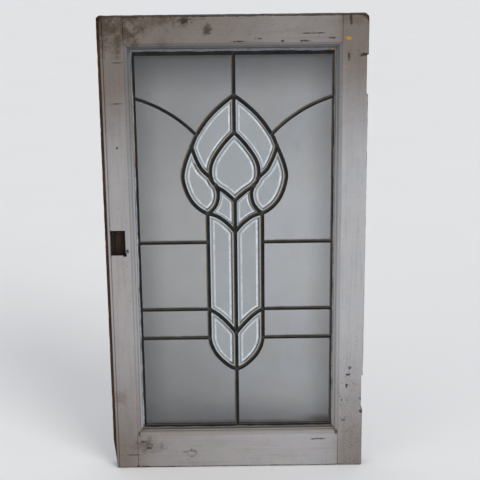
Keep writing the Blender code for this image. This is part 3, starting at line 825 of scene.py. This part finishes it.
def make_putty():
    edge = REBATE_INSET + PUTTY_GAP
    outside = BORDER_CAME / 2 + PUTTY_GAP
    pocket = (
        FACE_HALF - BORDER_HALF - outside,
        BORDER_LOW - outside - OPENING_LOW,
        OPENING_HIGH - BORDER_HIGH - outside,
    )
    bm = bmesh.new()
    lip = STICKING_WIDTH + PUTTY_GAP
    back_edge = edge + PUTTY_GAP * 4
    rings = [
        putty_loop(bm, edge, edge, edge, SHOULDER_DEPTH + PUTTY_GAP),
        putty_loop(bm, lip, lip, lip, SHOULDER_DEPTH + PUTTY_GAP),
        putty_loop(bm, lip + 0.1, lip + 0.1, lip + 0.1, SHOULDER_DEPTH - 0.9),
        putty_loop(bm, SIDE_PUTTY - 1.6, BOTTOM_PUTTY - 1.9, TOP_PUTTY - 3.0, SHOULDER_DEPTH + 0.1, 0.7),
        putty_loop(bm, SIDE_PUTTY - 0.2, BOTTOM_PUTTY - 0.2, TOP_PUTTY - 0.4, PANEL_FRONT - 1.0, 1.2),
        putty_loop(bm, SIDE_PUTTY, BOTTOM_PUTTY, TOP_PUTTY, PANEL_FRONT - 0.25, 1.3),
        putty_loop(bm, *pocket, PANEL_FRONT - PUTTY_GAP),
        putty_loop(bm, *pocket, PANEL_BACK + PUTTY_GAP),
        putty_loop(bm, FILLET_REACH, FILLET_REACH, TOP_PUTTY, PANEL_BACK + PUTTY_GAP, 0.3),
        putty_loop(bm, back_edge, back_edge, back_edge, FILLET_BACK),
        putty_loop(bm, edge, edge, edge, FILLET_BACK),
    ]
    for number, ring in enumerate(rings):
        last = rings[number - 1]
        for i in range(len(ring)):
            bm.faces.new((last[i - 1], last[i], ring[i], ring[i - 1]))
    material, field, shader = finish("putty", 0.75)
    place, x, _, z = position(field)
    patch = field.cloud(place, 30, 5, 0.7)
    crumb = field.cloud(place, 500, 4, 0.7)
    amber = field.cloud(place, (11, 11, 17), 2).rise(0.66, 0.72) * patch.rise(0.45, 0.6)
    high = z.rise(520, 760)
    low = z.rise(OPENING_LOW + 30, OPENING_LOW + 10)
    skin = patch.rise(0.35, 0.65).mix(colour(0.22, 0.25, 0.29), colour(0.42, 0.44, 0.48))
    right = x.rise(-80, -70)
    # Painted shade: the putty is darkened high up, under the top moulding, and a little on the hinge side,
    # which faces away from the light.
    skin = (high * 0.75 + right * 0.2).smaller(0.85).mix(skin, colour(0.12, 0.13, 0.145))
    # A tan band of old leading compound beside the came on the hinge side.
    tan_band = right * x.rise(-61.0, -63.0) * crumb.rise(0.3, 0.5)
    skin = tan_band.mix(skin, colour(0.2, 0.145, 0.08))
    # Painted shade: the putty at the foot is darkened to a dark gap line.
    skin = low.mix(skin, colour(0.075, 0.066, 0.056))
    skin = (crumb.rise(0.45, 0.62) * 0.7).mix(skin, colour(0.05, 0.05, 0.05))
    seam = x.rise(-442.8, -444.0) * z.rise(600, 640) * z.rise(815, 795) * crumb.rise(0.42, 0.55)
    skin = (amber * 0.8).larger(seam * 0.5).mix(skin, OLD_VARNISH)
    wire(field, shader, Base_Color=skin, Normal=bump(field, crumb + patch, 0.6, 0.0006))
    item = smoothed(item_of(bm, "worn_putty"))
    item.data.materials.append(material)
    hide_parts("glazing_putty")
    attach(item, "root")


make_putty()

# The came network holds the glass. Each came is an H-section strip of drawn lead with a domed
# face, broad round the bevelled plates and on the centre line, thin elsewhere. It is soldered
# at every joint, front and back, so it is one rigid grille.

THIN_CAME = 5.6
BROAD_CAME = 7.4
HEART_THICK = 1.4
FLANGE_THICK = 1.2
SIGHT_LOW = OPENING_LOW + BOTTOM_SIGHT
SIGHT_HEIGHT = OPENING_HIGH - TOP_SIGHT - SIGHT_LOW
COLUMN_HALF = 53.0
ORNAMENT_HEIGHT = SIGHT_HEIGHT * 0.74
ORNAMENT_LOW = SIGHT_LOW + SIGHT_HEIGHT * 0.158
CURVE_PARTS = 9


def node(across, up):
    """A node of the ornament from shares of its height, right of its centre and up from its foot."""
    return Vector((across * ORNAMENT_HEIGHT, ORNAMENT_LOW + up * ORNAMENT_HEIGHT))


def column_node(across, up):
    """The same, with the place across as a share of the column's half width."""
    return Vector((across * COLUMN_HALF, ORNAMENT_LOW + up * ORNAMENT_HEIGHT))


def curve_through(*points):
    """A smooth curve through the points, its end tangents those of a circular arc."""
    inner = [(points[i + 1] - points[i - 1]).normalized() for i in range(1, len(points) - 1)]
    first = (points[1] - points[0]).normalized()
    last = (points[-1] - points[-2]).normalized()
    tangents = [-inner[0].reflect(first), *inner, -inner[-1].reflect(last)]
    line = [points[0]]
    for i in range(len(points) - 1):
        reach = (points[i + 1] - points[i]).length / 3
        near = points[i] + tangents[i] * reach
        far = points[i + 1] - tangents[i + 1] * reach
        span = interpolate_bezier(points[i], near, far, points[i + 1], CURVE_PARTS + 1)
        line.extend(Vector(point[:2]) for point in span[1:])
    return line


def came_lines():
    """Each came's centre line right of the panel's own, with the came's width."""
    flame_tip = node(0.0, 1.0)
    split = node(0.1466, 0.8237)
    joint = node(0.1295, 0.8633)
    waist = column_node(1.0, 0.5845)
    touch_top = node(0.0818, 0.7104)
    touch_low = node(0.0656, 0.6844)
    drop_tip = node(0.0, 0.8723)
    drop_foot = node(0.0, 0.6295)
    arch_foot = node(0.0, 0.5171)
    leaf_tip = node(0.0, 0.1403)
    foot_tip = node(0.0, 0.0)
    flame = curve_through(
        flame_tip,
        node(0.0782, 0.9335),
        joint,
        split,
        node(0.1709, 0.7626),
        node(0.179, 0.7086),
        node(0.1502, 0.6295),
        waist,
    )
    drop = curve_through(
        drop_tip,
        node(0.0522, 0.8129),
        node(0.08, 0.7608),
        touch_top,
        touch_low,
        node(0.0342, 0.6619),
        drop_foot,
    )
    petal = curve_through(
        split,
        node(0.1169, 0.7482),
        touch_top,
        touch_low,
        node(0.0576, 0.6529),
        node(0.0665, 0.6151),
        waist,
    )
    column = [column_node(1.0, 0.4793), column_node(1.0, 0.2302), column_node(1.0, 0.1214)]
    side_end = Vector((BORDER_HALF, node(0.0, 0.9964).y))
    side_bend = Vector((joint.x + (BORDER_HALF - joint.x) * 0.46, node(0.0, 0.9451).y))
    broad = {
        "centre_top": [Vector((0.0, BORDER_HIGH)), flame_tip],
        "flame_top": flame[: CURVE_PARTS * 2 + 1],
        "flame_joint": flame[CURVE_PARTS * 2 : CURVE_PARTS * 3 + 1],
        "flame_side": flame[CURVE_PARTS * 3 :],
        "stem_top": [flame_tip, drop_tip],
        "drop_top": drop[: CURVE_PARTS * 3 + 1],
        "drop_touch": drop[CURVE_PARTS * 3 : CURVE_PARTS * 4 + 1],
        "drop_low": drop[CURVE_PARTS * 4 :],
        "petal_top": petal[: CURVE_PARTS * 2 + 1],
        "petal_low": petal[CURVE_PARTS * 3 :],
        "stem_waist": [drop_foot, arch_foot],
        "arch": curve_through(waist, column_node(0.528, 0.5674), arch_foot),
        "column_top": [waist, column[0]],
        "column_long": [column[0], column[1]],
        "column_foot": [column[1], column[2]],
        "stem_column": [arch_foot, leaf_tip],
        "leaf": curve_through(column[1], column_node(0.557, 0.2005), leaf_tip),
        "stem_leaf": [leaf_tip, foot_tip],
        "foot": curve_through(
            column[2], column_node(0.811, 0.0665), column_node(0.377, 0.0198), foot_tip
        ),
        "centre_low": [foot_tip, Vector((0.0, BORDER_LOW))],
    }
    thin = {
        "side": curve_through(joint, side_bend, side_end),
        "row_1": [column[0], Vector((BORDER_HALF, column[0].y))],
        "row_2": [column[1], Vector((BORDER_HALF, column[1].y))],
        "row_3": [column[2], Vector((BORDER_HALF, column[2].y))],
    }
    heights = [BORDER_HIGH, side_end.y, *(row.y for row in column), BORDER_LOW]
    border = {
        "border_top": [Vector((0.0, BORDER_HIGH)), Vector((BORDER_HALF, BORDER_HIGH))],
        "border_low": [Vector((BORDER_HALF, BORDER_LOW)), Vector((0.0, BORDER_LOW))],
    }
    for number in range(5):
        ends = [Vector((BORDER_HALF, heights[number])), Vector((BORDER_HALF, heights[number + 1]))]
        border["border_" + str(number + 1)] = ends
    lines = {}
    for group, width in ((broad, BROAD_CAME), (thin, THIN_CAME), (border, BORDER_CAME)):
        for name, points in group.items():
            lines[name] = (points, width)
    return lines


def came_section(width):
    """The H section as a closed curve: domed faces, thin flanges and the heart between."""
    flange_edge = CAME_HEIGHT / 2 - FLANGE_THICK * 0.85
    inside = CAME_HEIGHT / 2 - FLANGE_THICK
    dome = []
    for step in range(9):
        angle = math.pi * step / 8
        rise = (CAME_HEIGHT / 2 - flange_edge) * math.sin(angle)
        dome.append((width / 2 * math.cos(angle), flange_edge + rise))
    side = [(-width / 2 + 0.1, inside), (-HEART_THICK / 2, inside)]
    half = dome + side
    outline = half + [(-u, -v) for u, v in half]
    curve = bpy.data.curves.new("came_section", "CURVE")
    curve.dimensions = "2D"
    spline = curve.splines.new("POLY")
    spline.points.add(len(outline) - 1)
    spline.use_cyclic_u = True
    for point, (u, v) in zip(spline.points, outline):
        point.co = (u * MM, v * MM, 0.0, 1.0)
    item = bpy.data.objects.new("came_section", curve)
    bpy.context.scene.collection.objects.link(item)
    return item


def came_mesh(points, section):
    """The section drawn along a centre line and stood up in the panel's plane."""
    curve = bpy.data.curves.new("came", "CURVE")
    curve.dimensions = "2D"
    curve.fill_mode = "NONE"
    curve.bevel_mode = "OBJECT"
    curve.bevel_object = section
    curve.use_fill_caps = True
    spline = curve.splines.new("POLY")
    spline.points.add(len(points) - 1)
    for target, point in zip(spline.points, points):
        flat = at(point.x, SASH_THICK / 2, point.y)
        target.co = (flat.x, flat.z, 0.0, 1.0)
    item = bpy.data.objects.new("came", curve)
    bpy.context.scene.collection.objects.link(item)
    graph = bpy.context.evaluated_depsgraph_get()
    mesh = bpy.data.meshes.new_from_object(item.evaluated_get(graph))
    mesh.transform(Matrix.Rotation(math.pi / 2, 4, "X"))
    bpy.data.objects.remove(item, do_unlink=True)
    return mesh


def both_sides(lines):
    """Every came line of the panel: those on the centre line once, the others mirrored too."""
    for name, (points, width) in lines.items():
        yield name, points, width
        if max(abs(point.x) for point in points) > 0.01:
            yield name, [Vector((-point.x, point.y)) for point in points], width


def note_turn(item):
    """Keeps how far each point of the surface is turned to the sash's left and top, for the lead's painted
    highlight.
    """
    turned = item.data.attributes.new("turned", "FLOAT", "POINT")
    for value, normal in zip(turned.data, item.data.vertex_normals):
        value.value = 0.5 + 0.5 * (normal.vector.z * 0.5 - normal.vector.x * 0.85)


def noted(field, name):
    """A value kept on the mesh's points."""
    return field.node("ShaderNodeAttribute", {"attribute_name": name}, {}, "Fac")


def lead_finish(name, dark, light, roughness, scale):
    """Dull lead, with a painted warm highlight along its upper and left flanks."""
    material, field, shader = finish(name, roughness, Metallic=0.5, Specular_IOR_Level=0.25)
    place = position(field)[0]
    patch = field.cloud(place, scale, 5, 0.7)
    pit = field.cloud(place, 900, 3)
    turned = noted(field, "turned")
    skin = patch.rise(0.3, 0.75).mix(dark, light)
    # Painted highlight: a warm tan band on the flanks turned to the left and up, where the warm light from
    # the left catches the domed lead.
    tan_band = (turned.rise(0.53, 0.62) * (0.3 + patch * 0.8)).smaller(0.9)
    skin = tan_band.mix(skin, colour(0.11, 0.086, 0.06))
    wire(
        field,
        shader,
        Base_Color=skin,
        Roughness=roughness + (patch - 0.5) * 0.3,
        Normal=bump(field, patch + pit * 0.5, 0.35, 0.0004),
    )
    return material


def make_cames():
    lines = came_lines()
    sections = {width: came_section(width) for width in (BROAD_CAME, THIN_CAME, BORDER_CAME)}
    bm = bmesh.new()
    for _, points, width in both_sides(lines):
        mesh = came_mesh(points, sections[width])
        bm.from_mesh(mesh)
        bpy.data.meshes.remove(mesh)
    for section in sections.values():
        bpy.data.objects.remove(section, do_unlink=True)
    for vertex in bm.verts:
        place = vertex.co / MM
        vertex.co.x += 0.22 * noise.noise(place / 21) * MM
        vertex.co.z += 0.22 * noise.noise(place / 19 + Vector((7, 3, 5))) * MM
    cames = smoothed(item_of(bm, "drawn_cames"), 50)
    cames.data.materials.append(
        lead_finish("lead", colour(0.006, 0.0065, 0.007), colour(0.02, 0.02, 0.019), 0.5, 40)
    )
    solder = bmesh.new()
    spots = {}
    for _, points, width in both_sides(lines):
        for end in (points[0], points[-1]):
            key = (round(end.x), round(end.y))
            widths = spots.setdefault(key, [end, []])[1]
            widths.append(width)
    for end, widths in spots.values():
        for facing in (-1, 1):
            reach = (THIN_CAME if THIN_CAME in widths else BROAD_CAME) * 0.62
            centre = at(end.x, SASH_THICK / 2 + facing * (CAME_HEIGHT / 2 - 0.45), end.y)
            shape = Matrix.Translation(centre) @ Matrix.Diagonal((reach, 0.8, reach * 1.05, 1.0))
            made = bmesh.ops.create_icosphere(solder, subdivisions=3, radius=MM, matrix=shape)
            for vertex in made["verts"]:
                away = vertex.co - centre
                swell = 1.0 + 0.25 * noise.noise(vertex.co / MM / 4)
                vertex.co = centre + Vector((away.x * swell, away.y, away.z * swell))
    joints = smoothed(item_of(solder, "solder_joints"), 60)
    joints.data.materials.append(
        lead_finish("solder", colour(0.01, 0.01, 0.01), colour(0.06, 0.06, 0.064), 0.42, 120)
    )
    for item in (cames, joints):
        note_turn(item)
        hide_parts("lead_cames")
        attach(item, "root")


make_cames()

# The glass. The plain panes are thin drawn sheet, a little wavy and hazed near the lead. The
# ornament is thick plate with a flat back, its front ground and polished to a wide bevel.

GLASS_GAP = 0.4
SHEET_THICK = 3.0
BEVEL_WIDTH = 11.0
PETAL_BEVEL_WIDTH = 9.0
HEEL_BEVEL_WIDTH = 8.0
BEVEL_SLOPE = 0.25
CURVE_SLACK = 0.02
HAZE_WIDTH = 22.0
ARRIS_WIDTH = 1.2
LOOP_STEP = 5.0
PLAIN_PIECES = {
    "top_pane": ("border_top", "border_1", "-side", "-flame_top", "-centre_top"),
    "side_pane": ("border_2", "-row_1", "-column_top", "-flame_side", "-flame_joint", "side"),
    "upper_row_pane": ("border_3", "-row_2", "-column_long", "row_1"),
    "lower_row_pane": ("border_4", "-row_3", "-column_foot", "row_2"),
    "bottom_pane": ("border_5", "border_low", "-centre_low", "-foot", "row_3"),
}
BEVELLED_PIECES = {
    "upper_petal": ("flame_top", "flame_joint", "petal_top", "-drop_top", "-stem_top"),
    "lower_petal": ("flame_side", "-petal_low", "-drop_touch", "-petal_top"),
    "heel": ("petal_low", "arch", "-stem_waist", "-drop_low"),
    "column": ("column_top", "column_long", "leaf", "-stem_column", "-arch"),
    "leaf": ("column_foot", "foot", "-stem_leaf", "-leaf"),
}


def loop_of(names, lines):
    """The closed centre line round a piece, clockwise. A minus runs a came the other way."""
    points = []
    for name in names:
        line = lines[name.lstrip("-")][0]
        if name.startswith("-"):
            line = list(reversed(line))
        points.extend(line[:-1])
    return points


def crossing(first, second):
    spread = first[1].cross(second[1])
    if abs(spread) < 1e-5:
        return second[0].copy()
    return first[0] + first[1] * ((second[0] - first[0]).cross(second[1]) / spread)


def to_segment(point, start, end):
    along = end - start
    share = max(0.0, min(1.0, (point - start).dot(along) / along.length_squared))
    return (point - start - along * share).length


def inset(points, distance):
    """The loop moved inward, and each old corner's new one."""
    count = len(points)
    sides = []
    for i in range(count):
        along = (points[(i + 1) % count] - points[i]).normalized()
        sides.append((points[i] + Vector((along.y, -along.x)) * distance, along))
    corners = {}
    for i in range(count):
        corner = crossing(sides[i - 1], sides[i])
        past = (
            (points[i - 1] - corner).dot(sides[i - 1][1]),
            (corner - points[(i + 1) % count]).dot(sides[i][1]),
        )
        near = min(to_segment(corner, points[k], points[(k + 1) % count]) for k in range(count))
        if max(past) < CURVE_SLACK and near > distance - CURVE_SLACK:
            corners[i] = corner
    kept = sorted(corners)
    moved = []
    new_corner = {}
    for number, i in enumerate(kept):
        new_corner[i] = len(moved)
        moved.append(corners[i])
        following = kept[(number + 1) % len(kept)]
        steps = (following - i) % count
        if steps > 1:
            for k in range(1, steps):
                new_corner[(i + k) % count] = len(moved)
            moved.append(crossing(sides[i], sides[following - 1]))
    return moved, [new_corner[i] for i in range(count)]


def glass_piece(name, levels, shares):
    """A closed body of loops one behind the other. shares runs from 0 inside to 1 at the edge."""
    bm = bmesh.new()
    share = bm.verts.layers.float.new("outward")
    turned = bm.verts.layers.float.new("turned")
    rows = []
    for ((points, corners), depth), amount in zip(levels, shares):
        row = [bm.verts.new(at(point.x, depth, point.y)) for point in points]
        for i, vertex in enumerate(row):
            along = (points[(i + 1) % len(points)] - points[i - 1]).normalized()
            vertex[share] = amount
            # turned is high on a piece's right and lower edges; the finishes use it to place their painted
            # light and shade.
            vertex[turned] = 0.5 - 0.5 * (along.y * 0.85 + along.x * 0.5)
        rows.append((row, corners))
    bm.faces.new(rows[0][0])
    bm.faces.new(rows[-1][0])
    for (near, near_corners), (far, far_corners) in zip(rows, rows[1:]):
        for i in range(len(near_corners)):
            ring = [
                near[near_corners[i - 1]],
                near[near_corners[i]],
                far[far_corners[i]],
                far[far_corners[i - 1]],
            ]
            ring = list(dict.fromkeys(ring))
            if len(ring) > 2:
                bm.faces.new(ring)
    bm.normal_update()
    bmesh.ops.triangulate(bm, faces=[face for face in bm.faces if len(face.verts) > 4])
    return smoothed(item_of(bm, name), 6)


def sheet_finish():
    material, field, shader = finish("sheet_glass", 0.02, IOR=1.5, Transmission_Weight=1.0)
    place, x, _, z = position(field)
    wave = field.cloud(place, (22, 22, 7), 2, 0.4)
    cloudy = field.cloud(place, 18, 5, 0.65)
    outward = noted(field, "outward")
    turned = noted(field, "turned")
    hue = field.cloud(place, 9, 3).rise(0.35, 0.65)
    # Painted shade: clear darkens the panes towards the lock side, both sides, the top and the foot,
    # mixing near-black into their tint in place of the shaded view behind them; cloudy varies it at
    # random.
    clear = (1.0 - x.rise(-120, -470) * 0.25) * (1.0 - abs(x - CENTRE_X).rise(130, 194) * 0.4)
    clear = clear * (1.0 - z.rise(540, 740) * 0.25) * (1.0 - z.rise(745, 860) * 0.78)
    clear = clear * (1.0 - z.rise(430, 220) * 0.2) * (1.0 - z.rise(165, 82) * 0.42)
    clear = clear * (1.12 - cloudy * 0.24)
    skin = hue.mix(colour(0.485, 0.505, 0.53), colour(0.5, 0.505, 0.502))
    warm = x.rise(-190, -420).larger(z.rise(700, 800) * 0.6)
    skin = (warm * 0.8).mix(skin, colour(0.5, 0.492, 0.482))
    skin = clear.mix(colour(0.015, 0.02, 0.026), skin)
    # Darker, browner bands along the foot, strongest towards the hinge side, and under the top border
    # came.
    dark_edge_bands = (z.rise(112, 92) * x.rise(-160, -70)).larger(z.rise(99, 91) * 0.6)
    dark_edge_bands = dark_edge_bands.larger(z.rise(832, 839) * 0.7)
    skin = (dark_edge_bands * (0.5 + cloudy * 0.8)).smaller(0.95).mix(skin, colour(0.05, 0.038, 0.024))
    # Painted reflection: a tan fringe by the lead on each pane's right and lower edges, beside the cames'
    # lit left and upper flanks.
    tan_band = outward.rise(0.76, 0.88) * turned.rise(0.55, 0.8) * cloudy.rise(0.3, 0.5)
    skin = (tan_band * 0.75).mix(skin, colour(0.16, 0.12, 0.075))
    speck = field.cloud(place, 260, 2).rise(0.76, 0.79) * cloudy.rise(0.45, 0.6)
    skin = speck.mix(skin, colour(0.8, 0.8, 0.8))
    wire(
        field,
        shader,
        Base_Color=skin,
        Roughness=0.01 + outward * 0.03,
        Normal=bump(field, wave, 0.2, 0.002),
    )
    return material


def plate_finish():
    material, field, shader = finish("plate_glass", 0.0, IOR=1.52, Transmission_Weight=1.0)
    place, x, _, _ = position(field)
    cloudy = field.cloud(place, 25, 4)
    broken = field.cloud(place, 75, 3).rise(0.36, 0.58)
    outward = noted(field, "outward")
    turned = noted(field, "turned").rise(0.5, 0.75)
    # Painted light in the bevels, in place of their refraction: a bright painted highlight along the inner
    # bevel edge, a band of painted shadow across the bevel and a lighter painted band by the lead. The two
    # bands are paler on a piece's left and upper edges and darker and browner on its right and lower ones,
    # where the bright line is brightest.
    arris = outward.rise(0.0, 0.05) * outward.rise(0.32, 0.22)
    shade = outward.rise(0.34, 0.42) * outward.rise(0.6, 0.54)
    rim = outward.rise(0.54, 0.62)
    skin = cloudy.rise(0.35, 0.7).mix(colour(0.44, 0.465, 0.49), colour(0.4, 0.425, 0.435))
    skin = (x.rise(-255, -330) * 0.7).mix(skin, colour(0.415, 0.425, 0.425))
    skin = rim.mix(skin, turned.mix(colour(0.58, 0.64, 0.67), colour(0.42, 0.41, 0.4)))
    skin = shade.mix(skin, turned.mix(colour(0.32, 0.335, 0.35), colour(0.07, 0.05, 0.036)))
    bright = turned.mix(colour(0.72, 0.79, 0.83), colour(0.86, 0.93, 0.98))
    skin = (arris * (0.4 + broken * 0.6)).mix(skin, bright)
    wire(field, shader, Base_Color=skin)
    return material


def make_glass():
    lines = came_lines()
    edge_gap = HEART_THICK / 2 + GLASS_GAP
    sheet_front = PANEL_FRONT + (CAME_HEIGHT - SHEET_THICK) / 2
    sheet_back = sheet_front + SHEET_THICK
    plate_back = PANEL_BACK - FLANGE_THICK - GLASS_GAP
    plate_edge = plate_back - SHEET_THICK
    bevels = {"upper_petal": PETAL_BEVEL_WIDTH, "heel": HEEL_BEVEL_WIDTH}
    sheet = sheet_finish()
    plate = plate_finish()
    jobs = []
    for pieces in (PLAIN_PIECES, BEVELLED_PIECES):
        for name, around in pieces.items():
            right = loop_of(around, lines)
            left = [Vector((-point.x, point.y)) for point in reversed(right)]
            jobs.append((name, "_right", right, pieces is BEVELLED_PIECES))
            jobs.append((name, "_left", left, pieces is BEVELLED_PIECES))
    half = loop_of(("drop_top", "drop_touch", "drop_low"), lines)
    other = [Vector((-point.x, point.y)) for point in reversed(half[1:])]
    jobs.append(("teardrop", "", half + [lines["drop_low"][0][-1]] + other, True))
    for name, side, loop, bevelled in jobs:
        loop = spaced(loop, LOOP_STEP)
        edge = inset(loop, edge_gap)
        if bevelled:
            width = bevels.get(name, BEVEL_WIDTH)
            middle = inset(loop, edge_gap + width)
            front = plate_edge - width * BEVEL_SLOPE
            flat = inset(loop, edge_gap + width + ARRIS_WIDTH)
            levels = [(flat, front), (middle, front + 0.05), (edge, plate_edge)]
            levels += [(edge, plate_back), (middle, plate_back), (flat, plate_back)]
            piece = glass_piece("clear_" + name + side, levels, (0, 0.1, 1, 1, 0.1, 0))
            piece.data.materials.append(plate)
        else:
            inner = inset(loop, edge_gap + HAZE_WIDTH)
            levels = [(inner, sheet_front), (edge, sheet_front), (edge, sheet_back), (inner, sheet_back)]
            piece = glass_piece("clear_" + name + side, levels, (0, 1, 1, 0))
            piece.data.materials.append(sheet)
        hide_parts(name + side)
        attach(piece, "root")


make_glass()

# The stand-in studio: a plain pale floor, soft lamps and a camera where the photo's was.


def soft_sun(name, direction, strength, spread, tint):
    """Light that comes along a direction, as from a very large cloth far away."""
    lamp = bpy.data.lights.new(name, "SUN")
    lamp.energy = strength
    lamp.angle = math.radians(spread)
    lamp.color = tint
    item = bpy.data.objects.new(name, lamp)
    item.rotation_euler = Vector(direction).to_track_quat("-Z", "Y").to_euler()
    bpy.context.scene.collection.objects.link(item)


def make_stage():
    bm = bmesh.new()
    below = Matrix.Translation((0.0, 0.0, -SASH_HEIGHT / 2 * MM - 0.001))
    bmesh.ops.create_grid(bm, x_segments=1, y_segments=1, size=40.0, matrix=below)
    floor = item_of(bm, "floor")
    material, field, shader = finish("floor", 0.9, Specular_IOR_Level=0.2)
    skin = field.cloud(position(field)[0], 3, 3).mix(colour(0.77, 0.77, 0.775), colour(0.8, 0.8, 0.8))
    wire(field, shader, Base_Color=skin)
    floor.data.materials.append(material)
    soft_sun("key", (-0.75, 1.0, -0.8), 1.35, 30, (1.0, 0.985, 0.965))
    soft_sun("fill", (1.0, 0.8, -0.5), 0.3, 35, (1.0, 0.86, 0.7))
    world = bpy.data.worlds.new("studio")
    world.use_nodes = True
    world.node_tree.nodes["Background"].inputs["Color"].default_value = (0.93, 0.96, 1.0, 1.0)
    world.node_tree.nodes["Background"].inputs["Strength"].default_value = 0.74
    bpy.context.scene.world = world
    lens = bpy.data.cameras.new("camera")
    lens.lens = 91.2
    lens.sensor_width = 36.0
    camera = bpy.data.objects.new("camera", lens)
    camera.location = (-0.2577, -2.2861, 0.6873)
    camera.rotation_euler = [math.radians(angle) for angle in (73.756, 0.602, -0.520)]
    bpy.context.scene.collection.objects.link(camera)
    bpy.context.scene.camera = camera
    bpy.context.scene.view_settings.view_transform = "Standard"
    bpy.context.scene.cycles.use_denoising = True


make_stage()
